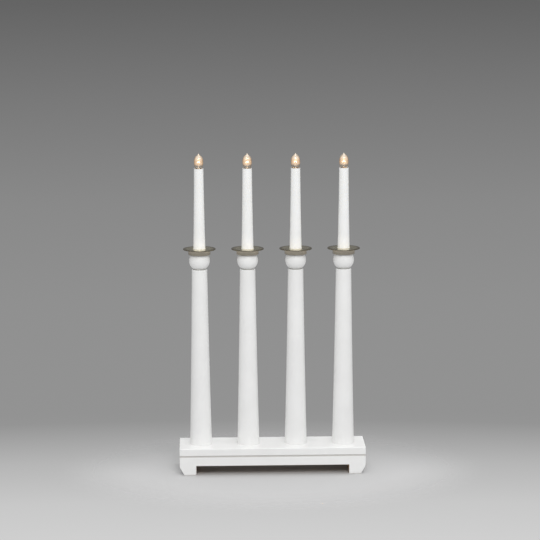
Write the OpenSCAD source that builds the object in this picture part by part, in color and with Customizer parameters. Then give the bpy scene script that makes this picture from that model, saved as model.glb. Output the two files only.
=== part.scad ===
// Electric advent candlestick: four turned wooden columns on a low bench-shaped base.
// Each column carries a turned knob, a loose metal drip tray and a candle sleeve with a lamp.
// Millimetres. X runs along the row, Y towards the back, Z up.
// The origin is the middle of the footprint, on the surface that the feet stand on.

/* [Base] */
// Length of the base, along the row
base_length = 300; // [240:1:400]
// Depth of the base, front to back
base_depth = 74; // [66:1:100]
// Height of the arch between the feet
foot_height = 15; // [12:0.5:30]
// Height of the rails above the arch
rail_thickness = 16.2; // [14.5:0.1:24]
// Thickness of the upper board
top_board_thickness = 11.8; // [11:0.1:20]
// Width of each foot along the row
foot_width = 26.7; // [22:0.1:30]
// Distance from the inner side of a foot to the axis of the column beside it
column_inset = 7.8; // [4:0.1:14]
// Width of the slope at a foot's outer corner
foot_slope_width = 7.5; // [4:0.1:9]
// Height of the slope at a foot's outer corner
foot_slope_height = 13.5; // [8:0.1:15]
// Radius where the slope meets the end of the base
foot_slope_radius = 6; // [2:0.5:8]
// Height of the shadow groove under the upper board
groove_height = 2; // [1:0.1:3]
// Depth of the shadow groove
groove_depth = 1.6; // [0.8:0.1:3]
// Radius on the long edges of board and rails
board_edge_radius = 1; // [0.4:0.1:1.5]
// Radius on the upright corners of board and rails
board_corner_radius = 1.2; // [0.6:0.1:3]

/* [Wiring channel] */
// Width of the channel between the two rails
channel_width = 40; // [32:1:46]
// Thickness of the strip that closes the channel from below
cover_thickness = 3; // [2:0.1:4]
// Width of the ledge on each end block that the strip rests on
cover_ledge = 3.8; // [2:0.1:6]

/* [Columns] */
// Height of a column
column_height = 287; // [150:1:400]
// Diameter of a column where it stands on the base
column_foot_diameter = 35.6; // [30:0.1:44]
// Diameter of a column at its top
column_top_diameter = 24.7; // [22:0.1:28]
// How far the side dips inside a straight taper at half height
column_dip = 0.4; // [0:0.05:1.5]
// Rounding of the top edge of a column
column_edge_radius = 0.8; // [0.3:0.1:1.2]
// Radial room of the lamp tube in the wood
tube_bore_room = 0.3; // [0.15:0.05:0.6]

/* [Knobs] */
// Diameter of the ball of a knob
ball_diameter = 33.3; // [29:0.1:38]
// Diameter of the short foot under the ball
knob_foot_diameter = 20; // [18:0.1:21.5]
// Height of the short foot under the ball
knob_foot_height = 1.2; // [0.6:0.1:4]
// Height of the straight neck above the ball
knob_neck_height = 7.5; // [6:0.1:14]

/* [Drip trays] */
// Diameter of a drip tray
tray_diameter = 52; // [42:0.5:66]
// Thickness of the tray's sheet metal
tray_sheet = 0.8; // [0.5:0.1:1.2]
// Height of the turned-down rim, measured from the tray's upper face
tray_rim_height = 1.4; // [1.3:0.1:3]
// Radial play between the tray's hole and the candle sleeve
tray_play = 0.85; // [0.5:0.05:1.2]
// Width of the knob's top on which the tray rests
tray_seat = 2.1; // [1.2:0.1:3]
// Height of the skirt under the tray
skirt_height = 8.4; // [5:0.1:12]
// Diameter of the skirt
skirt_diameter = 35.4; // [31:0.1:44]
// Wall of the skirt
skirt_wall = 0.8; // [0.5:0.1:1.2]

/* [Candle sleeves] */
// Length of a candle sleeve
sleeve_length = 129.5; // [90:0.5:180]
// Diameter of a sleeve at its foot
sleeve_foot_diameter = 19.2; // [18.3:0.1:20]
// Diameter of a sleeve at its rim
sleeve_rim_diameter = 14.95; // [14.6:0.05:17]
// How far the side dips inside a straight taper at half height
sleeve_dip = 0.25; // [0:0.05:0.3]
// Wall of a sleeve
sleeve_wall = 0.9; // [0.6:0.05:0.95]

/* [Lamp tubes] */
// Outer diameter of the threaded lamp tube
tube_diameter = 10; // [9.6:0.1:10.2]
// Bore of the lamp tube
tube_bore = 7; // [6.8:0.1:7.4]
// Length of tube that stands out below its lower nut
tube_tail = 2.7; // [1.5:0.1:3]
// Length of tube that stands out above the knob
tube_stub = 9; // [5:0.5:20]
// Width across the flats of a tube nut
nut_across_flats = 13; // [12.4:0.1:13.2]
// Thickness of a tube nut
nut_thickness = 3; // [2:0.1:3.2]
// Thickness of a washer
washer_thickness = 1; // [0.6:0.1:1.2]
// How far the upper nut lies below the top of the knob
nut_sink = 0.2; // [0.1:0.1:1]

/* [Lamp holders] */
// Wall of the holder's long hollow stem
holder_wall = 1.05; // [0.9:0.05:1.1]
// How far the holder's rim lies below the rim of the sleeve
holder_sink = 1.2; // [0.8:0.1:3]
// Depth of the cup that holds the threaded shell
holder_cup_depth = 11.8; // [11.5:0.1:14]
// Thickness of the floor of the cup
holder_floor = 3.5; // [3:0.1:5]
// Depth of the spring's pocket in that floor
spring_pocket_depth = 1.5; // [1:0.1:2]
// Height of the pressed contact spring
spring_height = 2.9; // [2.4:0.1:3.4]
// How far the shell's edge lies below the holder's rim
shell_sink = 0.5; // [0.3:0.1:1.5]

/* [Lamps] */
// Diameter of a lamp's screw cap
cap_diameter = 9.4; // [9.2:0.05:9.5]
// Height of the screw cap
cap_height = 10; // [9:0.1:10.5]
// Height of the centre contact below the cap
tip_height = 0.9; // [0.6:0.1:1.2]
// Largest diameter of the glass
glass_diameter = 14.7; // [13.4:0.1:17]
// Height of the glass above the cap
glass_height = 24.5; // [20:0.5:40]
// Wall of the glass
glass_wall = 0.5; // [0.4:0.05:0.7]
// Height of the filament's loop above the glass floor
filament_height = 14; // [9:0.5:15]

/* [Leads] */
// Diameter of an insulated lead
lead_diameter = 1.9; // [1.6:0.1:2]
// Bend radius of a lead, at its middle
lead_bend_radius = 4; // [3.5:0.1:4.2]
// Distance from the channel's middle line to the supply leads
supply_offset = 8.5; // [8.5:0.5:11]
// Length of a butt connector
connector_length = 16; // [12:1:22]
// Diameter of a butt connector
connector_diameter = 4; // [3.6:0.1:4.1]
// Distance from the middle of the base to the middle of a connector
connector_place = 32; // [26:1:44]

/* [Cord inlet] */
// Bore of the inlet bush
inlet_bore = 5.4; // [4:0.1:6]
// Wall of the inlet bush
inlet_wall = 1.2; // [0.8:0.1:1.4]
// Diameter of the bush's flange
inlet_flange_diameter = 12; // [10.5:0.1:12.4]
// Thickness of the bush's flange, let in flush
inlet_flange_thickness = 1.5; // [1:0.1:3]

/* [Board screws] */
// Diameter of a screw's thread
screw_diameter = 3.8; // [3:0.1:4.5]
// Diameter of a screw's head
screw_head_diameter = 7.4; // [6.4:0.1:8.4]
// Length of a screw
screw_length = 33; // [26:0.5:34]
// Depth of the hole that the head is sunk in
screw_sink = 6; // [5.5:0.1:8]

/* [Hidden] */
station_count = 4;
stations = [1:station_count];
per_station = ["column", "knob", "lamp_tube", "drip_tray", "tray_skirt", "candle_sleeve",
    "lamp_holder", "contact_shell", "lamp_contact", "lamp_cap", "lamp_glass", "lamp_filament"];
shared = ["top_board", "front_rail", "back_rail", "end_blocks", "channel_cover", "board_screws",
    "tube_nuts", "tube_washers", "contact_springs", "leads", "butt_connectors", "inlet_bush"];
$fn = 64;

// Overrun of every cut, and the small rooms between pieces that fit together
overrun = 1;
thread_room = 0.05;
washer_margin = 0.1;
washer_room = 0.25;
pocket_room = 0.4;
stem_room = 0.1;
shell_room = 0.1;
cap_room = 0.2;
turning_room = 0.1;
neck_room = 0.1;
lead_room = 0.05;
lead_end_room = 0.5;
bush_room = 0.1;
screw_room = 0.1;
head_room = 0.5;
slot_room = 0.15;

// Base, from the feet up
rail_top = foot_height + rail_thickness;
base_top = rail_top + top_board_thickness;
foot_side = base_length / 2 - foot_width;
station_pitch = 2 * (foot_side - column_inset) / (station_count - 1);
channel_end = foot_side + cover_ledge;
channel_side = channel_width / 2;
channel_bottom = foot_height + cover_thickness;
rail_middle = (channel_side + base_depth / 2) / 2;

// Column and knob, from the base up
tube_radius = tube_diameter / 2;
wood_bore_radius = tube_radius + tube_bore_room;
column_top = base_top + column_height;
ball_radius = ball_diameter / 2;
knob_foot_radius = knob_foot_diameter / 2;
sleeve_foot_radius = sleeve_foot_diameter / 2;
tray_hole_radius = sleeve_foot_radius + tray_play;
knob_neck_radius = tray_hole_radius + tray_seat;
ball_drop = sqrt(ball_radius ^ 2 - knob_foot_radius ^ 2);
ball_rise = sqrt(ball_radius ^ 2 - knob_neck_radius ^ 2);
ball_middle = column_top + knob_foot_height + ball_drop;
neck_bottom = ball_middle + ball_rise;
knob_top = neck_bottom + knob_neck_height;

// Tube, nuts and washers
nut_radius = nut_across_flats / 2 / cos(30);
washer_radius = nut_radius + washer_margin;
tube_bottom = rail_top - washer_thickness - nut_thickness - tube_tail;
tube_top = knob_top + tube_stub;
upper_nut_top = knob_top - nut_sink;
upper_pocket_bottom = upper_nut_top - nut_thickness - washer_thickness;
pocket_radius = washer_radius + pocket_room;

// Tray
skirt_radius = skirt_diameter / 2;

// Sleeve and lamp holder, from the rim down
sleeve_top = knob_top + sleeve_length;
sleeve_rim_radius = sleeve_rim_diameter / 2;
stem_bore_radius = tube_radius + stem_room;
holder_radius = stem_bore_radius + holder_wall;
holder_top = sleeve_top - holder_sink;
cup_floor = holder_top - holder_cup_depth;
floor_underside = cup_floor - holder_floor;
cap_radius = cap_diameter / 2;
shell_wall = 0.3;
shell_inner_radius = cap_radius + cap_room;
shell_outer_radius = shell_inner_radius + shell_wall;
cup_bore_radius = shell_outer_radius + shell_room;
shell_top = holder_top - shell_sink;
shell_hole_radius = 3;
shell_floor = 0.5;
lead_radius = lead_diameter / 2;
lead_offset = tube_bore / 2 - lead_radius - washer_room;
tail_place = lead_offset + lead_radius + lead_room;
tail_thickness = 0.45;
tail_width = 2.4;
tail_drop = 5;

// Contact spring
spring_bottom = cup_floor - spring_pocket_depth;
spring_sheet = 0.4;
spring_radius = 2.2;
spring_width = 2.2;
rivet_radius = 0.9;
spring_tail_length = 4;
leaf_shares = [[-0.8, 0], [-0.53, 0], [0.4, 0.86], [0.73, 0.86], [0.73, 1], [0.3, 1], [-0.8, 0.14]];

// Lamp
lamp_bottom = spring_bottom + spring_height;
cap_bottom = lamp_bottom + tip_height;
cap_top = cap_bottom + cap_height;
cap_sheet = 0.35;
plug_height = 1.5;
plug_radius = cap_radius - cap_sheet - turning_room;
tip_radius = 1.7;
tip_root_radius = 2.4;
neck_depth = 3;
glass_neck_radius = cap_radius - cap_sheet - neck_room;
glass_radius = glass_diameter / 2;
glass_floor = 0.8;
// Outline of the glass above the cap: shares of its height and of its largest radius
glass_shares = [[0, 0.58], [0.05, 0.77], [0.13, 0.87], [0.255, 0.95], [0.42, 1], [0.56, 0.975],
    [0.68, 0.885], [0.765, 0.75], [0.84, 0.55], [0.9, 0.32], [0.955, 0.13], [1, 0.04]];
glass_steps = 4;
filament_spread = 1.6;
filament_wire_radius = 0.25;
filament_coil_radius = 0.4;
bead_radius = 0.7;
bead_share = 0.35;

// Leads
connector_radius = connector_diameter / 2;
connector_bore_radius = lead_radius + lead_room;
connector_grip = 6;
lead_level = channel_bottom + connector_radius + lead_room;
shell_lead_top = floor_underside - lead_end_room;
contact_lead_top = floor_underside - spring_sheet;

// Inlet
inlet_bore_radius = inlet_bore / 2;
inlet_outer_radius = inlet_bore_radius + inlet_wall;
inlet_level = channel_bottom + inlet_outer_radius + bush_room + head_room;

// Screws
screw_radius = screw_diameter / 2;
screw_head_radius = screw_head_diameter / 2;
screw_cone_height = screw_head_radius - screw_radius;
screw_row = base_length / 2 - foot_width / 2;

column_steps = 18;

function station_x(k) = (k - (station_count + 1) / 2) * station_pitch;

// Radius of a turned or moulded taper at share t of its height
function taper(foot, top, dip, t) = foot + (top - foot) * t - 4 * dip * t * (1 - t);

// Arc of a round corner at b, between the straight sides towards a and c
function corner(a, b, c, r, steps = 8) =
    let (u = (a - b) / norm(a - b), v = (c - b) / norm(c - b))
    let (half = acos(u * v) / 2, middle = b + (u + v) / norm(u + v) * r / sin(half))
    let (start = b + u * r / tan(half) - middle, end = b + v * r / tan(half) - middle)
    [for (i = [0:steps]) let (s = i / steps, sweep = acos(start * end / (r * r)))
        middle + (start * sin((1 - s) * sweep) + end * sin(s * sweep)) / sin(sweep)];

// Point of a smooth curve through the rows of a table, between row i and row i + 1
function smooth(table, i, s) =
    let (last = len(table) - 1)
    let (a = table[max(i - 1, 0)], b = table[i], c = table[min(i + 1, last)], d = table[min(i + 2, last)])
    b + (c - a) / 2 * s + (a - 5 / 2 * b + 2 * c - d / 2) * s ^ 2 + (3 / 2 * (b - c) + (d - a) / 2) * s ^ 3;

// Tube or ring about Z
module ring(outer, inner, height) {
    difference() {
        cylinder(h = height, r = outer);
        translate([0, 0, -overrun]) cylinder(h = height + 2 * overrun, r = inner);
    }
}

// Board with round long edges and round upright corners, standing on z = 0
module board(height) {
    intersection() {
        rotate([90, 0, 90])
            translate([0, 0, -base_length / 2])
                linear_extrude(height = base_length)
                    rounded_rectangle(base_depth, height, board_edge_radius);
        translate([0, -base_depth / 2, 0])
            linear_extrude(height = height)
                rounded_rectangle(base_length, base_depth, board_corner_radius);
    }
}

// Rectangle centred on X, with its lower side on Y = 0
module rounded_rectangle(width, height, radius) {
    half = width / 2;
    corners = [[-half, 0], [half, 0], [half, height], [-half, height]];
    polygon([for (i = [0:3]) each corner(corners[(i + 3) % 4], corners[i], corners[(i + 1) % 4], radius)]);
}

// Upper board: flat, drilled for the four lamp tubes and for the screws from below
module top_board() {
    color("#f3f3f1")
        difference() {
            translate([0, 0, rail_top]) board(top_board_thickness);
            for (k = stations)
                translate([station_x(k), 0, rail_top - overrun])
                    cylinder(h = top_board_thickness + 2 * overrun, r = wood_bore_radius);
            at_screws() cylinder(h = screw_sink + screw_length + screw_room, r = screw_radius + screw_room);
        }
}

// Outer side of a foot and of the rail over it, from the top down, as seen from the front
function foot_end() =
    let (half = base_length / 2)
    let (slope_top = [half, foot_slope_height], slope_foot = [half - foot_slope_width, 0])
    concat(
        [[half, rail_top]],
        corner([half, rail_top], slope_top, slope_foot, foot_slope_radius),
        [slope_foot, [foot_side, 0], [foot_side, foot_height]]);

// Side rail: sawn to an arch between two feet, with round edges and a shadow groove.
// It runs along the front, and along the back where it is turned about
module side_rail() {
    side = foot_end();
    difference() {
        intersection() {
            translate([0, -channel_side, 0])
                rotate([90, 0, 0])
                    linear_extrude(height = base_depth / 2 - channel_side)
                        polygon(concat(side, [for (i = [len(side) - 1:-1:0]) [-side[i][0], side[i][1]]]));
            board(rail_top);
        }
        groove();
        screw_holes();
    }
}

// Front rail
module front_rail() {
    color("#f0f0ee") side_rail();
}

// Back rail, bored for the inlet bush
module back_rail() {
    color("#f0f0ee")
        difference() {
            rotate([0, 0, 180]) side_rail();
            translate([0, channel_side - overrun, inlet_level])
                rotate([-90, 0, 0])
                    cylinder(h = base_depth, r = inlet_outer_radius + bush_room);
            translate([0, base_depth / 2 - inlet_flange_thickness, inlet_level])
                rotate([-90, 0, 0])
                    cylinder(h = inlet_flange_thickness + overrun, r = inlet_flange_diameter / 2 + bush_room);
        }
}

// End blocks glued between the rails: they fill the feet, and a ledge carries the channel's cover
module end_blocks() {
    color("#f0f0ee")
        difference() {
            for (turn = [0, 180])
                rotate([0, 0, turn])
                    translate([0, channel_side, 0])
                        rotate([90, 0, 0])
                            linear_extrude(height = channel_width)
                                polygon(concat(foot_end(), [[channel_end, foot_height], [channel_end, rail_top]]));
            groove();
        }
}

// Strip that closes the channel from below, let in between the rails
module channel_cover() {
    color("#8a6b4f")
        translate([-channel_end, -channel_side, foot_height])
            cube([2 * channel_end, channel_width, cover_thickness]);
}

// Rebate round the top of rails and end blocks, which leaves a dark line under the upper board
module groove() {
    translate([0, 0, rail_top - groove_height])
        difference() {
            translate([-base_length / 2 - overrun, -base_depth / 2 - overrun, 0])
                cube([base_length + 2 * overrun, base_depth + 2 * overrun, groove_height + overrun]);
            translate([groove_depth - base_length / 2, groove_depth - base_depth / 2, -overrun])
                cube([base_length - 2 * groove_depth, base_depth - 2 * groove_depth, groove_height + 3 * overrun]);
        }
}

// Puts its children at the four board screws, two in each rail
module at_screws() {
    for (x = [-screw_row, screw_row], y = [-rail_middle, rail_middle])
        translate([x, y, 0]) children();
}

// Holes for the screws in the rails, with a deep seat for each head
module screw_holes() {
    at_screws() {
        translate([0, 0, -overrun])
            cylinder(h = screw_sink + overrun, r = screw_head_radius + head_room);
        cylinder(h = base_top, r = screw_radius + screw_room);
        translate([0, 0, screw_sink])
            cylinder(h = screw_cone_height, r1 = screw_head_radius + screw_room, r2 = screw_radius + screw_room);
    }
}

// Countersunk wood screws that hold the rails under the upper board
module board_screws() {
    color("#b9b9b4")
        at_screws()
            translate([0, 0, screw_sink]) {
                cylinder(h = screw_cone_height, r1 = screw_head_radius, r2 = screw_radius);
                cylinder(h = screw_length, r = screw_radius);
            }
}

// Turned column: a hollow flare from its foot to a narrow, lightly rounded top
module column(k) {
    foot = column_foot_diameter / 2;
    top = column_top_diameter / 2;
    edge_share = 1 - column_edge_radius / column_height;
    last = taper(foot, top, column_dip, edge_share);
    side = [for (i = [0:column_steps]) let (t = edge_share * i / column_steps)
        [taper(foot, top, column_dip, t), t * column_height]];
    edge = [for (a = [15:15:90])
        [last - column_edge_radius * (1 - cos(a)), column_height - column_edge_radius * (1 - sin(a))]];
    color("#f1f1ef")
        translate([station_x(k), 0, base_top])
            rotate_extrude()
                polygon(concat([[wood_bore_radius, 0]], side, edge, [[wood_bore_radius, column_height]]));
}

// Turned knob: a short foot, a ball and a straight neck with a pocket for the upper nut
module knob(k) {
    color("#f1f1ef")
        translate([station_x(k), 0, 0])
            difference() {
                union() {
                    translate([0, 0, column_top]) cylinder(h = knob_foot_height + overrun, r = knob_foot_radius);
                    intersection() {
                        translate([0, 0, ball_middle]) sphere(r = ball_radius);
                        translate([0, 0, ball_middle - ball_drop])
                            cylinder(h = ball_drop + ball_rise, r = ball_diameter);
                    }
                    translate([0, 0, neck_bottom - overrun])
                        cylinder(h = knob_neck_height + overrun, r = knob_neck_radius);
                }
                translate([0, 0, column_top - overrun])
                    cylinder(h = knob_top - column_top + 2 * overrun, r = wood_bore_radius);
                translate([0, 0, upper_pocket_bottom])
                    cylinder(h = knob_top - upper_pocket_bottom + overrun, r = pocket_radius);
            }
}

// Threaded steel tube that ties upper board, column and knob together and carries the leads
module lamp_tube(k) {
    color("#c9c6bd")
        translate([station_x(k), 0, tube_bottom])
            ring(tube_radius, tube_bore / 2, tube_top - tube_bottom);
}

// Puts its children at the underside of the upper board and in the pocket of the knob
module at_tube_ends() {
    for (k = stations) {
        translate([station_x(k), 0, rail_top]) mirror([0, 0, 1]) children();
        translate([station_x(k), 0, upper_pocket_bottom]) children();
    }
}

// Hexagon nuts on both ends of the lamp tubes
module tube_nuts() {
    color("#c9c6bd")
        at_tube_ends()
            translate([0, 0, washer_thickness])
                difference() {
                    cylinder(h = nut_thickness, r = nut_radius, $fn = 6);
                    translate([0, 0, -overrun])
                        cylinder(h = nut_thickness + 2 * overrun, r = tube_radius + thread_room);
                }
}

// Washers between the nuts and the wood
module tube_washers() {
    color("#c9c6bd")
        at_tube_ends() ring(washer_radius, tube_radius + washer_room, washer_thickness);
}

// Spun drip tray: a flat disc with a turned-down rim, loose around the candle sleeve
module drip_tray(k) {
    outer = tray_diameter / 2;
    top = [outer, tray_sheet];
    color("#77725f")
        translate([station_x(k), 0, knob_top])
            rotate_extrude()
                polygon(concat(
                    [[tray_hole_radius, 0], [outer - tray_sheet, 0]],
                    [[outer - tray_sheet, tray_sheet - tray_rim_height], [outer, tray_sheet - tray_rim_height]],
                    corner([outer, 0], top, [0, tray_sheet], tray_sheet * 3 / 4),
                    [[tray_hole_radius, tray_sheet]]));
}

// Metal skirt soldered under the tray, which hides the neck of the knob
module tray_skirt(k) {
    color("#8a8376")
        translate([station_x(k), 0, knob_top - skirt_height])
            ring(skirt_radius, skirt_radius - skirt_wall, skirt_height);
}

// Moulded candle sleeve: a tapered tube that stands on the knob, inside the tray's hole
module candle_sleeve(k) {
    side = [for (i = [0:column_steps]) let (t = i / column_steps)
        [taper(sleeve_foot_radius, sleeve_rim_radius, sleeve_dip, t), t * sleeve_length]];
    inside = [for (i = [column_steps:-1:0]) side[i] - [sleeve_wall, 0]];
    color("#f6f6f2")
        translate([station_x(k), 0, knob_top])
            rotate_extrude() polygon(concat(side, inside));
}

// Moulded lamp holder: a long stem over the tube, a floor and a cup for the shell
module lamp_holder(k) {
    color("#e9e6dc")
        translate([station_x(k), 0, 0])
            difference() {
                translate([0, 0, upper_nut_top])
                    cylinder(h = holder_top - upper_nut_top, r = holder_radius);
                translate([0, 0, upper_nut_top - overrun])
                    cylinder(h = floor_underside - upper_nut_top + overrun, r = stem_bore_radius);
                translate([0, 0, cup_floor])
                    cylinder(h = holder_cup_depth + overrun, r = cup_bore_radius);
                translate([0, 0, spring_bottom])
                    cylinder(h = spring_pocket_depth + overrun, r = spring_radius + slot_room);
                translate([0, 0, floor_underside - overrun])
                    cylinder(h = holder_floor + overrun, r = rivet_radius + lead_room);
                translate([tail_place - slot_room, -tail_width / 2 - slot_room, floor_underside - overrun])
                    cube([tail_thickness + 2 * slot_room, tail_width + 2 * slot_room, holder_floor + 2 * overrun]);
            }
}

// Brass shell that takes the screw cap, with a solder tail through the holder's floor
module contact_shell(k) {
    color("#c8a95a")
        translate([station_x(k), 0, cup_floor]) {
            ring(shell_outer_radius, shell_inner_radius, shell_top - cup_floor);
            ring(shell_outer_radius, shell_hole_radius, shell_floor);
            translate([tail_place, -tail_width / 2, -holder_floor - tail_drop])
                cube([tail_thickness, tail_width, holder_floor + tail_drop + shell_floor / 2]);
        }
}

// Bent leaf under each lamp, riveted through the holder's floor to its solder tag
module contact_springs() {
    leaf_height = spring_height - spring_sheet;
    color("#c8a95a")
        for (k = stations)
            translate([station_x(k), 0, 0]) {
                translate([0, 0, spring_bottom]) cylinder(h = spring_sheet, r = spring_radius);
                translate([0, spring_width / 2, spring_bottom + spring_sheet / 2])
                    rotate([90, 0, 0])
                        linear_extrude(height = spring_width)
                            polygon([for (s = leaf_shares)
                                [s[0] * spring_radius, s[1] * (leaf_height + spring_sheet / 2)]]);
                translate([0, 0, contact_lead_top])
                    cylinder(h = spring_bottom - contact_lead_top + spring_sheet / 2, r = rivet_radius);
                translate([rivet_radius - spring_tail_length, -spring_width / 2, contact_lead_top])
                    cube([spring_tail_length, spring_width, spring_sheet]);
            }
}

// Centre contact of a lamp, in its insulating plug
module lamp_contact(k) {
    color("#55524c")
        translate([station_x(k), 0, lamp_bottom]) {
            cylinder(h = tip_height, r1 = tip_radius, r2 = tip_root_radius);
            translate([0, 0, tip_height]) cylinder(h = plug_height, r = plug_radius);
        }
}

// Screw cap of a lamp
module lamp_cap(k) {
    color("#cfc9bb")
        translate([station_x(k), 0, cap_bottom]) ring(cap_radius, cap_radius - cap_sheet, cap_height);
}

// Outline of the glass, drawn inwards by wall
module glass_outline(wall, bottom) {
    rows = len(glass_shares) - 1;
    curve = [for (i = [0:rows - 1], j = [0:glass_steps - 1]) smooth(glass_shares, i, j / glass_steps)];
    tip = glass_shares[rows];
    points = [for (p = concat(curve, [tip]))
        if (p[1] * glass_radius > wall) [p[1] * glass_radius - wall, p[0] * glass_height]];
    polygon(concat(
        [[0, bottom], [glass_neck_radius - wall, bottom], [glass_neck_radius - wall, 0]],
        points,
        [[0, points[len(points) - 1][1]]]));
}

// Pointed glass of a lamp, blown hollow, with its neck cemented into the cap
module lamp_glass(k) {
    color("#f3dfb5", 0.6)
        translate([station_x(k), 0, cap_top])
            difference() {
                rotate_extrude() glass_outline(0, -neck_depth);
                rotate_extrude() glass_outline(glass_wall, glass_floor - neck_depth);
            }
}

// Filament: a loop on two support wires that a glass bead holds apart
module lamp_filament(k) {
    loop_level = filament_height - filament_spread - filament_coil_radius;
    color("#ffb35c")
        translate([station_x(k), 0, cap_top + glass_floor - neck_depth]) {
            for (x = [-filament_spread, filament_spread])
                translate([x, 0, 0]) cylinder(h = loop_level, r = filament_wire_radius);
            translate([-filament_spread - bead_radius, 0, loop_level * bead_share])
                rotate([0, 90, 0]) cylinder(h = 2 * (filament_spread + bead_radius), r = bead_radius);
            translate([0, 0, loop_level])
                rotate([90, 0, 0])
                    rotate_extrude(angle = 180)
                        translate([filament_spread, 0]) circle(r = filament_coil_radius);
        }
}

// Straight stretch of lead between two points
module lead_run(a, b) {
    d = b - a;
    translate(a)
        rotate([0, acos(d[2] / norm(d)), atan2(d[1], d[0])])
            cylinder(h = norm(d), r = lead_radius, $fn = 24);
}

// Quarter bend of a lead about the corner b, from the side of a to the side of c
module lead_bend(a, b, c) {
    u = (a - b) / norm(a - b);
    v = (c - b) / norm(c - b);
    w = cross(v, u);
    middle = b + (u + v) * lead_bend_radius;
    multmatrix([
        [-v[0], -u[0], w[0], middle[0]],
        [-v[1], -u[1], w[1], middle[1]],
        [-v[2], -u[2], w[2], middle[2]],
        [0, 0, 0, 1]])
        rotate_extrude(angle = 90)
            translate([lead_bend_radius, 0]) circle(r = lead_radius, $fn = 24);
}

// Lead along square-cornered points, with every corner bent to the same radius
module lead(points) {
    last = len(points) - 1;
    for (i = [0:last - 1]) {
        step = (points[i + 1] - points[i]) / norm(points[i + 1] - points[i]);
        lead_run(
            points[i] + (i == 0 ? 0 : lead_bend_radius) * step,
            points[i + 1] - (i + 1 == last ? 0 : lead_bend_radius) * step);
    }
    for (i = [1:last - 1]) lead_bend(points[i - 1], points[i], points[i + 1]);
}

// Lead from the level top in a holder down its tube at place and along the channel to a connector
module supply_lead(place, top, grip) {
    lead([[place, 0, top], [place, 0, lead_level], [place, supply_offset, lead_level],
        [grip, supply_offset, lead_level]]);
}

// Leads that wire the lamps in series: three from the shell of one holder to the spring of the
// next, and two from the outer holders to the connectors
module leads() {
    grip = connector_place + connector_length / 2 - connector_grip;
    color("#e4dfd2") {
        for (k = [1:station_count - 1]) {
            from = station_x(k) + lead_offset;
            to = station_x(k + 1) - lead_offset;
            lead([[from, 0, shell_lead_top], [from, 0, lead_level], [to, 0, lead_level], [to, 0, contact_lead_top]]);
        }
        supply_lead(station_x(1) - lead_offset, contact_lead_top, -grip);
        supply_lead(station_x(station_count) + lead_offset, shell_lead_top, grip);
    }
}

// Butt connectors that join the supply leads to the cores of the cord
module butt_connectors() {
    color("#d8b24a")
        for (side = [-1, 1])
            translate([side * connector_place - connector_length / 2, supply_offset, lead_level])
                rotate([0, 90, 0]) ring(connector_radius, connector_bore_radius, connector_length);
}

// Bush that lines the cord's hole in the back rail, with its flange let in flush
module inlet_bush() {
    color("#e9e6dc")
        translate([0, base_depth / 2, inlet_level])
            rotate([90, 0, 0]) {
                ring(inlet_outer_radius, inlet_bore_radius, base_depth / 2 - channel_side);
                ring(inlet_flange_diameter / 2, inlet_bore_radius, inlet_flange_thickness);
            }
}

top_board();
front_rail();
back_rail();
end_blocks();
channel_cover();
board_screws();
tube_nuts();
tube_washers();
contact_springs();
leads();
butt_connectors();
inlet_bush();
for (k = stations) {
    column(k);
    knob(k);
    lamp_tube(k);
    drip_tray(k);
    tray_skirt(k);
    candle_sleeve(k);
    lamp_holder(k);
    contact_shell(k);
    lamp_contact(k);
    lamp_cap(k);
    lamp_glass(k);
    lamp_filament(k);
}
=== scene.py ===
from math import cos, hypot, pi, radians, sin

import bmesh
import bpy
from mathutils import Matrix, Vector


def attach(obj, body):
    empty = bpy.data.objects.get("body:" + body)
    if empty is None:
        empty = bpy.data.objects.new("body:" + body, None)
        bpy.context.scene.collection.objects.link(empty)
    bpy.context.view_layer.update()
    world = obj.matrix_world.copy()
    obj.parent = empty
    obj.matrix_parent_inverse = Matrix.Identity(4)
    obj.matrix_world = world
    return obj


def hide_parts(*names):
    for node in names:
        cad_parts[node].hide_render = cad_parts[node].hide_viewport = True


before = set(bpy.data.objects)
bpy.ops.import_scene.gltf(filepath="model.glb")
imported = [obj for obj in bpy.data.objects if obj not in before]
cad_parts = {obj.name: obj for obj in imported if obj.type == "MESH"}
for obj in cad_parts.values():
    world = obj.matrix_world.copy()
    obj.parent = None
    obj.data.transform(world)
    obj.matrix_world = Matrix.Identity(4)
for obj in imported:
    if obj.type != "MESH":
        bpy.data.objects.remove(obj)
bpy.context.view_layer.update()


# The camera. It stands 3.2 m in front of the base and 0.9 m up, a little to the left, and looks
# down by about ten degrees, with the long lens that the photograph's proportions call for.
mm = 0.001
image_width, lens_pixels, sensor_width = 540, 2039, 36
camera_place = Vector((-103.5, -3218.6, 890.1)) * mm
pitch, yaw, roll = radians(9.901), radians(1.796), radians(0.159)
camera_data = bpy.data.cameras.new("camera")
camera_data.sensor_width = sensor_width
camera_data.lens = lens_pixels * sensor_width / image_width
camera_data.clip_end = 50
camera = bpy.data.objects.new("camera", camera_data)
tilt = Matrix.Rotation(pi / 2 - pitch, 4, "X") @ Matrix.Rotation(-roll, 4, "Z")
camera.matrix_world = Matrix.Translation(camera_place) @ Matrix.Rotation(-yaw, 4, "Z") @ tilt
bpy.context.scene.collection.objects.link(camera)
bpy.context.scene.camera = camera
bpy.context.scene.view_settings.view_transform = "Standard"


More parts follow.
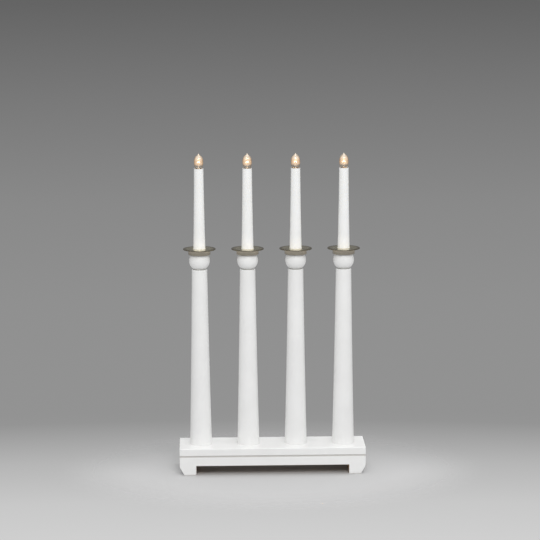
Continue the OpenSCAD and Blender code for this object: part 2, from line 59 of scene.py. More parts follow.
# The floor: an oval of pale paper under the base. Its tone is painted darker towards the back, as
# painted falloff of the light, and its edges melt into the grey background, so that only the
# object's shadow marks it. It is open under the feet, so that their soles are lit when they are
# seen from below.
class Socket:
    """A socket of a node tree. Arithmetic on it adds Math nodes; node() adds any other node."""

    def __init__(self, tree, socket=None):
        self.tree = tree
        self.socket = socket

    def node(self, kind, settings=None, sockets=None, out=0):
        """An output of a new node, with its settings, and the values or links of its sockets."""
        made = self.tree.nodes.new("ShaderNode" + kind)
        for name, value in (settings or {}).items():
            if name == "stops":
                ramp = made.color_ramp
                while len(ramp.elements) < len(value):
                    ramp.elements.new(0.5)
                for element, (place, level) in zip(ramp.elements, value):
                    element.position = place
                    element.color = (level, level, level, 1)
            else:
                setattr(made, name, value)
        for name, value in (sockets or {}).items():
            if isinstance(value, Socket):
                self.tree.links.new(value.socket, made.inputs[name])
            elif hasattr(value, "__len__") and made.inputs[name].type == "RGBA":
                made.inputs[name].default_value = (*value, 1)
            else:
                made.inputs[name].default_value = value
        return Socket(self.tree, made.outputs[out] if made.outputs else None)

    def axis(self, number):
        """One coordinate of a place: 0, 1 or 2 for X, Y or Z."""
        return self.node("SeparateXYZ", {}, {0: self}, out=number)

    def math(self, operation, a, b=0):
        return self.node("Math", {"operation": operation}, {0: a, 1: b})

    def __add__(self, other):
        return self.math("ADD", self, other)

    def __sub__(self, other):
        return self.math("SUBTRACT", self, other)

    def __mul__(self, other):
        return self.math("MULTIPLY", self, other)

    def __truediv__(self, other):
        return self.math("DIVIDE", self, other)

    def __pow__(self, other):
        return self.math("POWER", self, other)

    def __mod__(self, other):
        return self.math("FLOORED_MODULO", self, other)

    def __abs__(self):
        return self.math("ABSOLUTE", self)

    def __radd__(self, other):
        return self.math("ADD", other, self)

    def __rsub__(self, other):
        return self.math("SUBTRACT", other, self)

    def larger(self, other):
        return self.math("MAXIMUM", self, other)

    def clamped(self):
        return self.node("Clamp", {}, {"Value": self})

    def between(self, low, high):
        """0 below low, 1 above high, and a soft step between them."""
        return self.node("MapRange", {"interpolation_type": "SMOOTHSTEP"},
                         {"Value": self, "From Min": low, "From Max": high})

    def blend(self, a, b):
        """Colour a where this is 0, colour b where it is 1."""
        return self.node("Mix", {"data_type": "RGBA"}, {0: self, 6: a, 7: b}, out=2)

    def scaled(self, x, y, z):
        """This place, drawn out along each axis."""
        return self.node("VectorMath", {"operation": "MULTIPLY"}, {0: self, 1: (x, y, z)})

    def noise(self, scale, detail, roughness=0.5):
        """Noise in space, for this place."""
        return self.node("TexNoise", {}, {"Vector": self, "Scale": scale, "Detail": detail,
                                          "Roughness": roughness})

    def noise_along(self, detail):
        """Noise along a line, for this value as the place on it."""
        return self.node("TexNoise", {"noise_dimensions": "1D"},
                         {"W": self, "Scale": 1, "Detail": detail})

    def bump(self, strength, depth):
        """The surface's normal, with this value as its relief. The depth is in millimetres."""
        return self.node("Bump", {}, {"Height": self, "Strength": strength, "Distance": depth * mm})


def new_material(name):
    """A material without nodes, and the place on a piece as a socket of its tree."""
    material = bpy.data.materials.new(name)
    material.use_nodes = True
    material.node_tree.nodes.clear()
    return material, Socket(material.node_tree).node("TexCoord", out="Object")


def finish(place, **sockets):
    """Ends a material with one Principled surface. A socket's name has _ for each space."""
    named = {name.replace("_", " "): value for name, value in sockets.items()}
    surface = place.node("BsdfPrincipled", {}, named)
    place.node("OutputMaterial", {}, {"Surface": surface})


def grey(level):
    """Linear value of a grey that shows as level, from 0 to 255."""
    share = level / 255
    return ((share + 0.055) / 1.055) ** 2.4 if share > 0.04045 else share / 12.92


def new_object(name, shape, material):
    """A mesh object of a bmesh, which is used up."""
    mesh = bpy.data.meshes.new(name)
    shape.to_mesh(mesh)
    shape.free()
    mesh.materials.append(material)
    made = bpy.data.objects.new(name, mesh)
    bpy.context.scene.collection.objects.link(made)
    return made


# Half the oval's length and depth, and the share of its radius at which it starts to fade
oval_length, oval_depth, fade_from = 360, 260, 0.55
# Where the painted falloff of light runs, from front to back, and its greys
tone_front, tone_back = -60, 170
front_grey, back_grey = (grey(195),) * 3, (grey(164),) * 3
# The openings under the feet: distance from the middle, half their width and depth, soft edge
foot_middle, foot_width, foot_depth, foot_edge = 133, 9, 36, 0.5
sheet_half, sheet_squares, sheet_level = 400, 24, -0.2

paper, place = new_material("floor paper")
across, along = place.axis(0), place.axis(1)
far = (across * across / (oval_length * mm) ** 2 + along * along / (oval_depth * mm) ** 2) ** 0.5
painted_falloff = along.between(tone_front * mm, tone_back * mm).blend(front_grey, back_grey)
sheet = place.node("BsdfPrincipled", {}, {"Base Color": painted_falloff, "Roughness": 0.9})
opening = place.node("BsdfTransparent")
from_below = place.node("NewGeometry", out="Backfacing")
from_foot = abs(abs(across) - foot_middle * mm)
beside_foot = from_foot.between(foot_width * mm, (foot_width + foot_edge) * mm)
beyond_foot = abs(along).between(foot_depth * mm, (foot_depth + foot_edge) * mm)
there = (1 - far.between(fade_from, 1.0)) * (1 - from_below) * beside_foot.larger(beyond_foot)
surface = place.node("MixShader", {}, {0: there, 1: opening, 2: sheet})
place.node("OutputMaterial", {}, {"Surface": surface})
plate = bmesh.new()
bmesh.ops.create_grid(plate, x_segments=sheet_squares, y_segments=sheet_squares,
                      size=sheet_half * mm, matrix=Matrix.Translation((0, 0, sheet_level * mm)))
floor = new_object("floor", plate, paper)


# The room: an even grey studio, darker towards the top of the picture. The surfaces are lit by a
# plain soft light, a little weaker from the sides. Only the eye, gloss and glass see the grey.
world = bpy.data.worlds.new("studio")
bpy.context.scene.world = world
world.use_nodes = True
world.node_tree.nodes.clear()
way = Socket(world.node_tree).node("TexCoord", out="Generated")
# How far a way into the room points up, and the grey that shows there, from 0 to 255
room_greys = [(-0.300, 208), (-0.281, 200), (-0.262, 181), (-0.243, 147), (-0.186, 144),
              (-0.138, 137), (-0.089, 121), (-0.041, 100), (0.08, 116), (0.3, 128), (0.9, 150)]
lowest, highest = room_greys[0][0], room_greys[-1][0]
stops = [((up - lowest) / (highest - lowest), grey(level)) for up, level in room_greys]
shade = way.node("ValToRGB", {"stops": stops}, {0: (way.axis(2) - lowest) / (highest - lowest)})
eye, gloss, through_glass = (way.node("LightPath", out=f"Is {kind} Ray")
                             for kind in ("Camera", "Glossy", "Transmission"))
seen = (eye + gloss + through_glass).clamped()
light = abs(way.axis(0)).between(0.3, 0.95).blend((0.66, 0.66, 0.665), (0.50, 0.50, 0.505))
room = way.node("Background", {}, {"Color": seen.blend(light, shade)})
way.node("OutputWorld", {}, {"Surface": room})


def soft_box(name, place, target, size, power):
    """A rectangular lamp that faces a target. Places and sizes are in metres."""
    data = bpy.data.lights.new(name, "AREA")
    data.shape = "RECTANGLE"
    data.size, data.size_y = size
    data.energy = power
    lamp = bpy.data.objects.new(name, data)
    lamp.location = place
    lamp.rotation_euler = (Vector(target) - Vector(place)).to_track_quat("-Z", "Y").to_euler()
    bpy.context.scene.collection.objects.link(lamp)


soft_box("key", (0.25, -2.4, 2.4), (0, 0, 0.25), (1.9, 1.5), 41.5)
soft_box("top light", (0.1, 0.3, 3.1), (0, 0, 0.1), (2.2, 1.6), 28)
soft_box("left fill", (-3.2, -1.6, 2.0), (0, 0, 0.25), (2.0, 2.4), 6)
soft_box("right fill", (3.2, -1.3, 2.0), (0, 0, 0.25), (2.0, 2.4), 8)


# The base's rails. Front and back rail are planed pine, sawn to one arch between two feet and
# glued to an end block in each foot. What shows is filled and sprayed white. The arch, the
# soles and the wiring channel between the rails stay raw.
def finish_node(node, material):
    """Gives a node of the CAD model its material."""
    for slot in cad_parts[node].material_slots:
        slot.material = material


def white_film(place, rings=0.0):
    """Colour, roughness and relief of two coats of satin enamel on planed or turned wood."""
    cloud = place.noise(22, 3)
    peel = place.noise(1100, 2)
    film = peel * 0.6
    if rings:
        film = film + (place.axis(2) * 900).noise_along(2) * rings
    colour = cloud.between(0.3, 0.7).blend((0.86, 0.86, 0.85), (0.89, 0.89, 0.88))
    return colour, 0.36 + cloud * 0.10 + peel * 0.06, film


def bare_wood(place, pale, dark):
    """Colour and relief of raw wood, with its grain along the row."""
    grain = place.scaled(9, 130, 130).noise(1, 5, 0.62)
    return grain.between(0.32, 0.68).blend(dark, pale), grain


def finish_board(place, bare, dust_and_shade):
    """Ends a board's material: white paint with dust by its share, and raw wood where bare is 1."""
    colour, rough, film = white_film(place)
    wood, grain = bare_wood(place, (0.56, 0.375, 0.22), (0.37, 0.23, 0.125))
    colour = dust_and_shade.blend(colour, (0.60, 0.575, 0.545))
    relief = (1 - bare) * (film + grain * 1.4) + bare * grain * 2
    finish(place, Base_Color=bare.blend(colour, wood), Roughness=bare * 0.4 + (1 - bare) * rough,
           Normal=relief.bump(0.14, 0.4), Coat_Weight=(1 - bare) * 0.12, Coat_Roughness=0.25)


# The soft edge at which paint, dust or a crimp ends
finish_edge = 0.06


def within(value, limit):
    """1 where a length is under the limit, which is in millimetres, and 0 beyond it."""
    return 1 - value.between(limit * mm, (limit + finish_edge) * mm)


def distance(across, along):
    """How far a place is from an upright axis, from its distances across and along the row."""
    return (across * across + along * along) ** 0.5


# Where the raw wood ends, a hair beyond the sawn faces
arch_half, arch_top, sole_top, channel_half, channel_end = 123.38, 15.03, 0.3, 20.03, 142.0
screw_across, screw_along, screw_hole_radius = 136.65, 28.5, 4.25
# The dust lies from here up, in the groove under the upper board
groove_bottom = 29.0

rail_paint, place = new_material("rail paint")
side, depth, height = abs(place.axis(0)), abs(place.axis(1)), place.axis(2)
arch = within(side, arch_half) * within(height, arch_top)
channel = within(depth, channel_half) * within(side, channel_end)
screw_hole = within(distance(side - screw_across * mm, depth - screw_along * mm), screw_hole_radius)
bare = arch.larger(within(height, sole_top)).larger(channel).larger(screw_hole)
finish_board(place, bare, (1 - within(height, groove_bottom)) * 0.7)
for node in ("front_rail", "back_rail", "end_blocks"):
    finish_node(node, rail_paint)


# The cover of the wiring channel: a strip of hardboard, pressed from wood fibre, that lies on the
# ledges of the end blocks and is glued between the rails. It is left raw.
hardboard, place = new_material("hardboard")
fibre = place.scaled(160, 400, 400).noise(1, 4, 0.6)
fleck = place.noise(900, 2)
finish(place, Base_Color=fibre.between(0.3, 0.7).blend((0.145, 0.085, 0.048), (0.24, 0.15, 0.085)),
       Roughness=0.55 + fleck * 0.2, Normal=(fibre * 0.6 + fleck * 0.4).bump(0.3, 0.3))
finish_node("channel_cover", hardboard)


# The upper board: pine with rounded edges, drilled for the four lamp tubes, sprayed like the
# rails. Under it only the rim that the groove leaves open is painted.
raw_top, raw_depth, raw_length, rim_dust_top = 31.25, 35.2, 148.2, 31.6
board_paint, place = new_material("board paint")
side, depth, height = abs(place.axis(0)), abs(place.axis(1)), place.axis(2)
bare = within(height, raw_top) * within(depth, raw_depth) * within(side, raw_length)
finish_board(place, bare, within(height, rim_dust_top) * 0.5)
finish_node("top_board", board_paint)


# Four countersunk wood screws of zinc plated steel draw the rails up under the upper board. Each
# has a cross recess in its head and a coarse thread, cut by the board's wood.
sharp_edge = radians(34)


def zinc_plate(name, relief=None):
    """Zinc plated steel. relief(place) adds a form, such as a thread."""
    material, place = new_material(name)
    cloud = place.noise(260, 3)
    colour = cloud.between(0.35, 0.65).blend((0.50, 0.49, 0.45), (0.62, 0.615, 0.59))
    form = cloud * 0.3 + (relief(place) if relief else 0)
    finish(place, Base_Color=colour, Metallic=1.0, Roughness=0.28 + cloud * 0.16,
           Normal=form.bump(0.5, 0.5 if relief else 0.1))
    return material


def turned(name, outline, centre, material, steps=72, closed=True, form=None):
    """Object of an outline of (radius, height) points in mm, spun about the upright axis at centre.
    form(angle, radius, height) may move each point. Its sharp edges stay sharp."""
    pairs = zip(outline, outline[1:] + outline[:1])
    if sum(r * z_next - r_next * z for (r, z), (r_next, z_next) in pairs) < 0:
        outline = outline[::-1]
    shape = bmesh.new()
    rings = []
    for radius, height in outline:
        ring = []
        for i in range(1 if radius == 0 else steps):
            angle = 2 * pi * i / steps
            r, z = form(angle, radius, height) if form else (radius, height)
            x, y = centre[0] + r * cos(angle), centre[1] + r * sin(angle)
            ring.append(shape.verts.new((x * mm, y * mm, z * mm)))
        rings.append(ring)
    for ring, other in zip(rings, rings[1:] + (rings[:1] if closed else [])):
        if len(ring) == len(other) == 1:
            continue
        for i in range(steps):
            j = (i + 1) % steps
            corners = [ring[i % len(ring)], ring[j % len(ring)]]
            corners += [other[j % len(other)], other[i % len(other)]]
            shape.faces.new(list(dict.fromkeys(corners)))
    for face in shape.faces:
        face.smooth = True
    for edge in shape.edges:
        if len(edge.link_faces) == 2 and edge.calc_face_angle(0) > sharp_edge:
            edge.smooth = False
    return new_object(name, shape, material)


def rising(value, reach):
    """0 up to 0, 1 from reach on, and a straight rise between them."""
    return min(1, max(0, value / reach))


def thread_wave(angle, height, step):
    """0 on the crests of a thread and 1 at its roots."""
    return 0.5 - 0.5 * cos(2 * pi * (height / step - angle / (2 * pi)))


screw_zinc = zinc_plate("screw zinc")
head_level, screw_end, head_radius, shank_radius = 6, 39, 3.7, 1.9
# The cross: an arm's length, half its width, its depth, and how far its end and sides slope
cross_arm, cross_half, cross_deep, arm_slope, side_slope = 2.1, 0.55, 1.5, 0.5, 0.14
shank_low, shank_high, ring_apart, head_rings = head_level + 1.8, screw_end - 3.4, 0.15, 26
thread_low, thread_high, screw_thread, thread_deep = 12, screw_end - 3.5, 1.8, 0.5


def screw_form(angle, radius, height):
    """Sinks a cross in the head's face, and lays the thread on the shank."""
    if height == head_level:
        across, along = sorted((abs(radius * cos(angle)), abs(radius * sin(angle))))
        sunk = rising(cross_half + side_slope - across, side_slope)
        return radius, height + cross_deep * sunk * rising(cross_arm - along, arm_slope)
    if thread_low < height < thread_high:
        return radius - thread_deep * thread_wave(angle, height, screw_thread) ** 0.5, height
    return radius, height


head = [(head_radius * i / head_rings, head_level) for i in range(head_rings + 1)]
shank_rings = int((shank_high - shank_low) / ring_apart)
shank = [(shank_radius, shank_low + ring_apart * i) for i in range(shank_rings)]
point = [(shank_radius, shank_high), (0.9, screw_end - 0.8), (0, screw_end)]
screw_places = [(x, y) for x in (-screw_across, screw_across) for y in (-screw_along, screw_along)]
for i, centre in enumerate(screw_places, 1):
    screw = turned(f"board_screw_{i}", head + shank + point, centre, screw_zinc, 64, closed=False,
                   form=screw_form)
    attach(screw, "candlestick")
    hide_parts("board_screws")


# The cord's inlet: a bush moulded in cream nylon, pressed into the back rail with its flange
# let in flush. Its mouth is polished by the tool.
def moulded(name, pale, dark, rough):
    """Moulded plastic, a little cloudy, with the fine grain of its mould."""
    material, place = new_material(name)
    cloud = place.noise(90, 3)
    fine = place.noise(1500, 2)
    finish(place, Base_Color=cloud.between(0.3, 0.7).blend(dark, pale),
           Roughness=rough + fine * 0.15, Normal=fine.bump(0.1, 0.05), IOR=1.5)
    return material


cream_nylon = moulded("cream nylon", (0.72, 0.68, 0.57), (0.66, 0.62, 0.51), 0.32)
finish_node("inlet_bush", cream_nylon)


# The columns: turned from pine on a lathe, a slow hollow taper of 287 mm, sanded and sprayed
# white like the base. The tool's faint rings stay under the paint, and dust lies at the foot.
stations = (1, 2, 3, 4)
tool_rings = 0.8
foot_dust_top = 43.5
column_paint, place = new_material("turned paint")
colour, rough, film = white_film(place, tool_rings)
foot_dust = within(place.axis(2), foot_dust_top) * 0.25
finish(place, Base_Color=foot_dust.blend(colour, (0.62, 0.60, 0.57)), Roughness=rough,
       Normal=film.bump(0.12, 0.4), Coat_Weight=0.12, Coat_Roughness=0.25)
for k in stations:
    finish_node(f"column_{k}", column_paint)


# The knobs: a ball with a short foot and neck, turned in one piece and painted with the columns.
# The hole through it and the pocket for the nut stay raw. Painted shade darkens the joint with
# the column.
station_pitch = 77
knob_bore_radius = 8.05
# Where the painted shade at the joint ends: a dark band up to the first, a fade between the others
joint_shade_top, shade_low, shade_high = 331.3, 330.5, 336


def from_axis(place):
    """Distance along the row from the axis of the nearest column, with its sign."""
    return place.axis(0) % (station_pitch * mm) - station_pitch / 2 * mm


knob_paint, place = new_material("knob paint")
colour, rough, film = white_film(place, tool_rings)
bare = within(distance(from_axis(place), place.axis(1)), knob_bore_radius)
wood, grain = bare_wood(place, (0.62, 0.46, 0.29), (0.48, 0.34, 0.20))
# Painted shade where ball and column meet: a dark band at the knob's foot, fading out above it
joint_shade = within(place.axis(2), joint_shade_top) * 0.75
dust_and_shade = (1 - place.axis(2).between(shade_low * mm, shade_high * mm)) * 0.35
colour = joint_shade.larger(dust_and_shade).blend(colour, (0.22, 0.21, 0.18))
relief = (1 - bare) * film + bare * grain
finish(place, Base_Color=bare.blend(colour, wood), Roughness=bare * 0.35 + (1 - bare) * rough,
       Normal=relief.bump(0.12, 0.4), Coat_Weight=(1 - bare) * 0.12, Coat_Roughness=0.25)
for k in stations:
    finish_node(f"knob_{k}", knob_paint)


# A steel lamp tube with a fine rolled thread ties board, column and knob together. Nuts and
# washers of the same zinc plated steel hold it at both ends.
def thread(place, step):
    """Relief of a thread about each column's axis, 1 on its crests. The step is in millimetres."""
    angle = place.math("ARCTAN2", place.axis(1), from_axis(place)) / (2 * pi)
    wave = (place.axis(2) / (step * mm) - angle) % 1.0
    return 1 - abs(wave * 2 - 1)


tube_thread = 1.0
tube_zinc = zinc_plate("lamp tube zinc", lambda place: thread(place, tube_thread))
nut_zinc = zinc_plate("nut zinc")
for k in stations:
    finish_node(f"lamp_tube_{k}", tube_zinc)
for node in ("tube_nuts", "tube_washers"):
    finish_node(node, nut_zinc)


# The lamp holders: a long stem over the tube's end, a floor and a cup, moulded in one piece of
# cream heat-proof plastic. A rolled brass shell and a riveted brass spring are the contacts.
def contact_brass(name, relief=None):
    """Bright brass. relief(place) adds a form, such as a thread."""
    material, place = new_material(name)
    cloud = place.noise(300, 3)
    colour = cloud.between(0.35, 0.65).blend((0.64, 0.48, 0.208), (0.80, 0.60, 0.26))
    finish(place, Base_Color=colour, Metallic=1.0, Roughness=0.22 + cloud * 0.16,
           Normal=(cloud * 0.2 + (relief(place) if relief else 0)).bump(0.5, 0.4))
    return material


lamp_thread = 25.4 / 14
holder_cream = moulded("holder cream", (0.74, 0.71, 0.62), (0.69, 0.66, 0.56), 0.42)
shell_brass = contact_brass("shell brass", lambda place: thread(place, lamp_thread))
spring_brass = contact_brass("spring brass")
for k in stations:
    finish_node(f"lamp_holder_{k}", holder_cream)
    finish_node(f"contact_shell_{k}", shell_brass)
finish_node("contact_springs", spring_brass)


# The leads: stranded wire in white soft plastic, and two crimped connectors with yellow sleeves
# where the cord's cores join. All of them lie hidden in the channel.
connector_middle, crimp_from_middle, crimp_half = 32, 4, 0.9
lead_white = moulded("lead insulation", (0.80, 0.79, 0.75), (0.74, 0.73, 0.68), 0.4)
sleeve_yellow, place = new_material("connector sleeve")
from_middle = abs(abs(place.axis(0)) - connector_middle * mm)
crimp = within(abs(from_middle - crimp_from_middle * mm), crimp_half)
finish(place, Base_Color=crimp.blend((0.74, 0.50, 0.07), (0.60, 0.39, 0.05)),
       Roughness=0.34 + crimp * 0.15, Normal=(1 - crimp).bump(0.6, 0.5))
finish_node("leads", lead_white)
finish_node("butt_connectors", sleeve_yellow)


# The drip trays: discs of thin brass, spun on a lathe, with a turned-down lip and a skirt that
# is soldered under them. They are polished, and browned by age; the spinning left fine rings.
browned_from, browned_to = 19.0, 25.2
# Where the painted shade on a skirt's low end fades out, from full to none
skirt_shade_low, skirt_shade_high = 354.5, 361.8


def aged_brass(name, pale, dark, rough, low_end_shade=0):
    """Spun brass, browned towards the rim. Its low end is painted darker, as painted shade,
    by the share in low_end_shade.
    """
    material, place = new_material(name)
    radius = distance(from_axis(place), place.axis(1))
    rings = (radius * 2600 + place.axis(2) * 1900).noise_along(3)
    stain = place.noise(120, 4, 0.6)
    spots = place.noise(420, 3, 0.6).between(0.62, 0.72)
    browned = radius.between(browned_from * mm, browned_to * mm) * 0.85
    colour = (stain * 0.6 + rings * 0.4).between(0.32, 0.68).blend(dark, pale)
    colour = browned.blend(colour, (0.275, 0.24, 0.172))
    if low_end_shade:
        painted_low_shade = (1 - place.axis(2).between(skirt_shade_low * mm, skirt_shade_high * mm)) * low_end_shade
        colour = painted_low_shade.blend(colour, (0.30, 0.26, 0.20))
    finish(place, Base_Color=(spots * 0.35).blend(colour, (0.20, 0.15, 0.09)), Metallic=1.0,
           Roughness=rough + stain * 0.06 + rings * 0.10 + spots * 0.12,
           Normal=(rings * 0.8 + stain * 0.6).bump(0.35, 0.08))
    return material


tray_brass = aged_brass("tray brass", (0.80, 0.74, 0.55), (0.56, 0.51, 0.37), 0.16)
# The skirt's low end gets painted shade
skirt_brass = aged_brass("skirt brass", (0.84, 0.77, 0.65), (0.715, 0.65, 0.548), 0.42, low_end_shade=0.5)
for k in stations:
    finish_node(f"drip_tray_{k}", tray_brass)
    finish_node(f"tray_skirt_{k}", skirt_brass)


# The candle sleeves: tapered tubes moulded in white plastic that lets a little light through.
# Each stands on its knob, round the lamp holder. Its foot is painted whiter and given a faint
# glow: painted light, standing for the light that the tray throws up on it.
glow_low, glow_high = 366, 390
candle_white, place = new_material("candle plastic")
cloud = place.noise(40, 3)
fine = place.noise(700, 2)
flow = place.scaled(260, 260, 12).noise(1, 3)
# Painted light: whiter plastic and a faint glow on the foot, for the light off the tray
painted_tray_light = 1 - place.axis(2).between(glow_low * mm, glow_high * mm)
white = cloud.between(0.3, 0.7).blend((0.925, 0.925, 0.905), (0.95, 0.95, 0.935))
finish(place, Base_Color=painted_tray_light.blend(white, (0.985, 0.98, 0.965)),
       Emission_Color=painted_tray_light.blend((0, 0, 0), (0.08, 0.077, 0.07)), Emission_Strength=1.0,
       Roughness=0.30 + fine * 0.12, Normal=(flow * 0.5 + fine * 0.3).bump(0.08, 0.2), IOR=1.49,
       Subsurface_Weight=0.06, Subsurface_Radius=(0.003, 0.0025, 0.002), Subsurface_Scale=1.0)
for k in stations:
    finish_node(f"candle_sleeve_{k}", candle_white)


# The lamps, lit. The cap is brass strip, nickel plated and rolled to a thread, with a black glass
# plug and a drop of solder for its contact. It is cemented to the neck of the glass.
station_x = {k: (k - 2.5) * station_pitch for k in stations}
cap_bottom, cap_high, cap_radius = 481.7655, 10, 4.7
cap_top = cap_bottom + cap_high
cap_nickel, place = new_material("cap nickel")
cloud = place.noise(350, 3)
finish(place, Base_Color=cloud.between(0.35, 0.65).blend((0.55, 0.52, 0.46), (0.68, 0.655, 0.60)),
       Metallic=1.0, Roughness=0.22 + cloud * 0.14, Normal=cloud.bump(0.2, 0.05))
plug_glass, place = new_material("plug glass")
speck = place.noise(700, 3)
finish(place, Base_Color=speck.between(0.4, 0.7).blend((0.012, 0.011, 0.014), (0.03, 0.026, 0.03)),
       Roughness=0.12 + speck * 0.2, Normal=speck.bump(0.3, 0.05))
solder, place = new_material("contact solder")
speck = place.noise(900, 3)
finish(place, Base_Color=speck.between(0.35, 0.65).blend((0.44, 0.43, 0.41), (0.60, 0.59, 0.57)),
       Metallic=1.0, Roughness=0.32 + speck * 0.2, Normal=speck.bump(0.4, 0.1))
# The thread's lowest and highest level on the cap, how far it fades out there, and its depth
rolled_low, rolled_high, rolled_fade, rolled_deep = 0.6, 8.6, 0.9, 0.42
cap_edge, cap_neck, cap_rings, cap_ring_apart = cap_radius - 0.35, cap_radius - 0.85, 64, 0.15


def thread_form(angle, radius, height):
    """Rolls the lamp's thread into the wall of the cap, and fades it out at both ends."""
    rise = height - cap_bottom
    fade = rising(rise - rolled_low, rolled_fade) * rising(rolled_high - rise, rolled_fade)
    return radius - rolled_deep * fade * thread_wave(angle, height, lamp_thread), height


# The cap's open tube: its lower edge, outer wall, upper edge, and the inner wall down again
cap_outline = [(cap_edge, cap_bottom), (cap_radius - 0.12, cap_bottom + 0.05)]
cap_outline += [(cap_radius, cap_bottom + 0.25 + cap_ring_apart * i) for i in range(cap_rings)]
cap_outline += [(cap_radius, cap_top - 0.2), (cap_radius - 0.1, cap_top), (cap_edge, cap_top),
                (cap_edge, cap_top - 0.5), (cap_neck, cap_top - 1.6), (cap_neck, cap_bottom + 1.5)]
# Plug and drop, with heights from the cap's lower edge
plug_outline = [(0, 1.4), (cap_radius - 0.9, 1.4), (cap_radius - 0.5, 0.3),
                (cap_radius - 0.62, -0.05), (3.1, -0.25), (2.4, -0.45), (0, -0.45)]
drop_outline = [(2.3, -0.46), (2.1, -0.62), (1.7, -0.76), (1.1, -0.86), (0, -0.9)]


def raised(outline, level):
    """An outline, lifted to a level."""
    return [(radius, level + height) for radius, height in outline]


for k in stations:
    centre = (station_x[k], 0)
    cap = turned(f"screw_cap_{k}", cap_outline, centre, cap_nickel, form=thread_form)
    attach(cap, f"lamp_{k}")
    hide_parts(f"lamp_cap_{k}")
    plug = turned(f"contact_plug_{k}", raised(plug_outline, cap_bottom), centre, plug_glass, 48,
                  closed=False)
    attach(plug, f"lamp_base_{k}")
    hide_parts(f"lamp_contact_{k}")
    drop = turned(f"contact_drop_{k}", raised(drop_outline, cap_bottom), centre, solder, 40,
                  closed=False)
    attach(drop, f"lamp_base_{k}")


# The glass of a lamp: blown, pointed like a flame, with a drawn tip. It is lit from inside, so
# its upper part glows warm and the clear neck stays dark around the glass stem.
glass_high, glass_radius, glass_wall = 24.5, 7.35, 0.5
neck_radius, neck_deep, glass_steps, curve_steps = 4.25, 2.2, 64, 8
# Shares of the height and of the widest radius, from the neck to the tip
glass_shares = [(0, 0.58), (0.05, 0.77), (0.13, 0.87), (0.255, 0.95), (0.42, 1), (0.56, 0.975),
                (0.68, 0.885), (0.765, 0.75), (0.84, 0.55), (0.9, 0.32), (0.955, 0.13), (1, 0.04)]
tip_outline = [(0.28, -0.1), (0.17, -0.02), (0, 0)]
# The inner face ends at this radius, and closes this much higher
inner_end, inner_close = 0.5, 0.3
# Levels between which the glass starts to glow, and its glow turns from amber to warm white
lit_low, lit_high, white_low, white_high = 496.5, 499.5, 504, 513


def eased(table, i, s):
    """Point of a smooth curve through a table's rows, at share s from row i to the next."""
    a, b = table[max(i - 1, 0)], table[i]
    c, d = table[min(i + 1, len(table) - 1)], table[min(i + 2, len(table) - 1)]
    return tuple(q + (r - p) / 2 * s + (p - 2.5 * q + 2 * r - t / 2) * s * s
                 + (1.5 * (q - r) + (t - p) / 2) * s ** 3 for p, q, r, t in zip(a, b, c, d))


curve = [eased(glass_shares, i, s / curve_steps)
         for i in range(len(glass_shares) - 1) for s in range(curve_steps)]
outer = [(neck_radius, cap_top - neck_deep), (neck_radius, cap_top - 0.1)]
outer += [(width * glass_radius, cap_top + rise * glass_high) for rise, width in curve]
outer += raised(tip_outline, cap_top + glass_high)
# The inner face keeps the wall's thickness from the outer one, and closes under the tip
neck_floor = cap_top - neck_deep + glass_wall
inner = [(0, neck_floor), (neck_radius - glass_wall, neck_floor)]
for before, here, after in zip(outer, outer[1:], outer[2:]):
    run, rise = after[0] - before[0], after[1] - before[1]
    radius = here[0] - glass_wall * rise / hypot(run, rise)
    if radius > inner_end:
        inner.append((radius, here[1] + glass_wall * run / hypot(run, rise)))
inner.append((0, inner[-1][1] + inner_close))

lit_glass, place = new_material("lamp glass")
lit = place.axis(2).between(lit_low * mm, lit_high * mm)
warm = place.axis(2).between(white_low * mm, white_high * mm)
glow = warm.blend((0.385, 0.255, 0.15), (0.46, 0.41, 0.345))
ripple = place.noise(260, 2)
body = place.node("BsdfPrincipled", {}, {
    "Base Color": ripple.between(0.3, 0.7).blend((0.93, 0.90, 0.86), (0.97, 0.94, 0.90)),
    "Roughness": 0.02 + ripple * 0.03, "Transmission Weight": 1.0, "IOR": 1.45,
    "Emission Color": lit.blend((0.0, 0.0, 0.0), glow), "Emission Strength": 1.0})
rim = place.node("BsdfPrincipled", {}, {
    "Base Color": ripple.between(0.3, 0.7).blend((0.60, 0.40, 0.24), (0.70, 0.49, 0.31)),
    "Roughness": 0.05, "Transmission Weight": 1.0, "IOR": 1.5})
edge = place.node("LayerWeight", {}, {"Blend": 0.5}, out="Facing")
surface = place.node("MixShader", {}, {0: (edge * 1.5).clamped(), 1: body, 2: rim})
place.node("OutputMaterial", {}, {"Surface": surface})
clear_glass, place = new_material("clear glass")
ripple = place.noise(260, 2)
finish(place, Base_Color=ripple.between(0.3, 0.7).blend((0.96, 0.95, 0.93), (0.99, 0.98, 0.96)),
       Roughness=0.02 + ripple * 0.02, Transmission_Weight=1.0, IOR=1.45)

for k in stations:
    glass = turned(f"glass_{k}", outer + inner[::-1], (station_x[k], 0), lit_glass, glass_steps)
    # The faces of the outer side come first; the inner side is clear
    glass.data.materials.append(clear_glass)
    for face in glass.data.polygons:
        face.material_index = int(face.index >= glass_steps * (len(outer) - 1))
    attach(glass, f"lamp_{k}")
    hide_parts(f"lamp_glass_{k}")


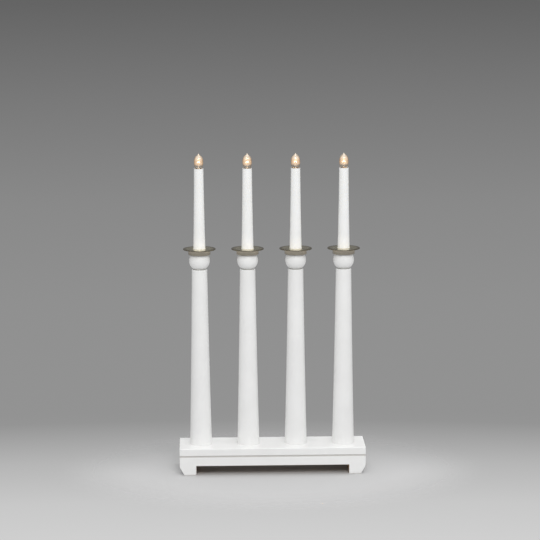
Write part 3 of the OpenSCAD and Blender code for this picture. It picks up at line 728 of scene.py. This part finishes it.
# The stem: a glass tube inside the neck, melted and pinched flat round the two supports. A
# small glass bead higher up holds them apart. Heights are from the cap's upper edge.
stem_glass, place = new_material("stem glass")
ripple = place.noise(500, 2)
finish(place, Base_Color=ripple.between(0.3, 0.7).blend((0.80, 0.76, 0.70), (0.88, 0.85, 0.80)),
       Roughness=0.08 + ripple * 0.08, Transmission_Weight=0.6, IOR=1.5,
       Emission_Color=(0.20, 0.155, 0.11), Emission_Strength=1.0)
stem_outline = [(0, -1.65), (2.9, -1.65), (2.2, -0.4), (1.5, 1.0), (1.25, 2.2), (0.9, 2.9),
                (0, 3.0)]
bead_outline = [(0, 4.4), (0.5, 4.5), (0.85, 4.9), (0.85, 5.2), (0.5, 5.6), (0, 5.7)]
# Where the stem is fully flat, the share by which it is, and that by which the bead is drawn out
flat_from, flat_share, draw_share = 2, 0.35, 1.7


def pinched(angle, radius, height):
    """Flattens the stem from front to back, more and more up to where it is flat."""
    flat = flat_share * rising(height - cap_top, flat_from)
    return radius * (1 - flat * abs(sin(angle))), height


def drawn_out(angle, radius, height):
    """Draws the bead out to both supports."""
    return radius * (1 + draw_share * abs(cos(angle)) ** 3), height


for k in stations:
    for name, outline, steps, form in (("stem", stem_outline, 40, pinched),
                                       ("bead", bead_outline, 24, drawn_out)):
        piece = turned(f"{name}_{k}", raised(outline, cap_top), (station_x[k], 0), stem_glass,
                       steps, closed=False, form=form)
        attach(piece, f"lamp_{k}")


# The filament: a coil of tungsten wire, strung in an arch over two support wires that come up
# through the stem. It is lit.
coil_metal, place = new_material("lit coil")
ripple = place.noise(3000, 2)
finish(place, Base_Color=ripple.between(0.3, 0.7).blend((0.9, 0.7, 0.4), (1.0, 0.85, 0.6)),
       Roughness=0.4 + ripple * 0.1, Emission_Strength=5.5,
       Emission_Color=ripple.between(0.3, 0.7).blend((1.0, 0.72, 0.38), (1.0, 0.80, 0.50)))
wire_metal, place = new_material("support wire")
ripple = place.noise(1200, 2)
finish(place, Base_Color=ripple.between(0.3, 0.7).blend((0.45, 0.40, 0.35), (0.60, 0.55, 0.50)),
       Metallic=1.0, Roughness=0.3 + ripple * 0.1)


def strand(name, points, radius, material, sides=8):
    """A round wire along points in mm."""
    shape = bmesh.new()
    rings = []
    last = len(points) - 1
    normal = None
    for i, point in enumerate(points):
        way = (Vector(points[min(i + 1, last)]) - Vector(points[max(i - 1, 0)])).normalized()
        if normal is None:
            normal = way.orthogonal().normalized()
        normal = (normal - way * normal.dot(way)).normalized()
        other = way.cross(normal)
        ring = []
        for j in range(sides):
            angle = 2 * pi * j / sides
            out = normal * cos(angle) + other * sin(angle)
            ring.append(shape.verts.new((Vector(point) + out * radius) * mm))
        rings.append(ring)
    for ring, after in zip(rings, rings[1:]):
        for j in range(sides):
            shape.faces.new((ring[j], ring[(j + 1) % sides], after[(j + 1) % sides], after[j]))
    shape.faces.new(rings[0])
    shape.faces.new(rings[-1])
    bmesh.ops.recalc_face_normals(shape, faces=shape.faces)
    for face in shape.faces:
        face.smooth = len(face.verts) == 4
    return new_object(name, shape, material)


loop_radius, wire_radius, loop_level = 1.6, 0.17, cap_top + 9.8
wire_bends = [(0.7, cap_top - 1.4), (0.7, cap_top + 2.2), (1.3, cap_top + 3.8),
              (loop_radius, cap_top + 5), (loop_radius, loop_level)]
coil_turns, winding_radius, coil_wire_radius, coil_sides, turn_points = 26, 0.36, 0.09, 5, 12
for k in stations:
    x = station_x[k]
    for side, sign in (("left", -1), ("right", 1)):
        bends = [(x + sign * out, 0, z) for out, z in wire_bends]
        wire = strand(f"support_{side}_{k}", bends, wire_radius, wire_metal)
        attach(wire, f"lamp_{k}")
        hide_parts(f"lamp_filament_{k}")
    path = []
    for i in range(coil_turns * turn_points + 1):
        share = i / (coil_turns * turn_points)
        out = Vector((cos(pi * (1 - share)), 0, sin(pi * (1 - share))))
        spin = 2 * pi * coil_turns * share
        path.append(Vector((x, 0, loop_level)) + out * (loop_radius + winding_radius * cos(spin))
                    + Vector((0, winding_radius * sin(spin), 0)))
    coil = strand(f"coil_{k}", path, coil_wire_radius, coil_metal, coil_sides)
    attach(coil, f"lamp_{k}")
